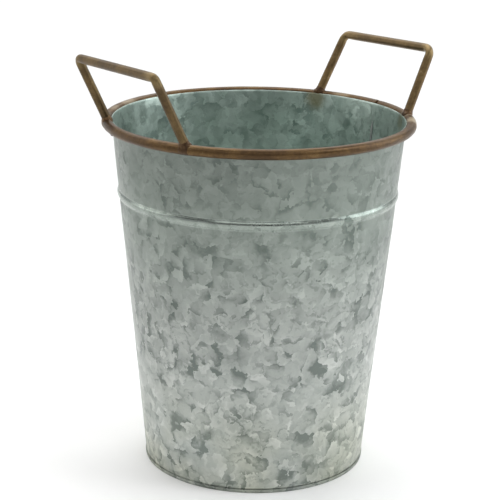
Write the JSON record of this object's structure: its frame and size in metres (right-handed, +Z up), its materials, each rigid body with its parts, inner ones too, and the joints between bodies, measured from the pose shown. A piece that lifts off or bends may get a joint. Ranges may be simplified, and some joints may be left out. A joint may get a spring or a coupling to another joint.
{
  "type": "florist bucket",
  "caption": "Tall tapered galvanised sheet bucket with a swaged bead, a folded foot seam, a round steel rim ring and two rectangular bent-rod carrying handles.",
  "frame": {"origin": "centre of the foot, on the plane that the bucket stands on", "axes": "+Z up along the bucket's axis; +X towards the right handle, -X towards the left handle; +Y is the rear"},
  "size_m": [0.2311, 0.2122, 0.288],
  "materials": {
    "galvanised": "spangled hot-dip zinc, semi-matt",
    "brown_steel": "antique brown lacquer, slightly worn",
    "sealant": "grey sealant, matt"
  },
  "bodies": {
    "root": {"wall_sheet": "galvanised", "base_pan": "galvanised", "rim_ring": "brown_steel", "handle_right": "brown_steel", "handle_left": "brown_steel", "weld_right_front": "brown_steel", "weld_right_rear": "brown_steel", "weld_left_front": "brown_steel", "weld_left_rear": "brown_steel", "rim_tack_welds": "brown_steel", "base_sealant": "sealant", "side_seam_sealant": "sealant"}
  },
  "joints": []
}
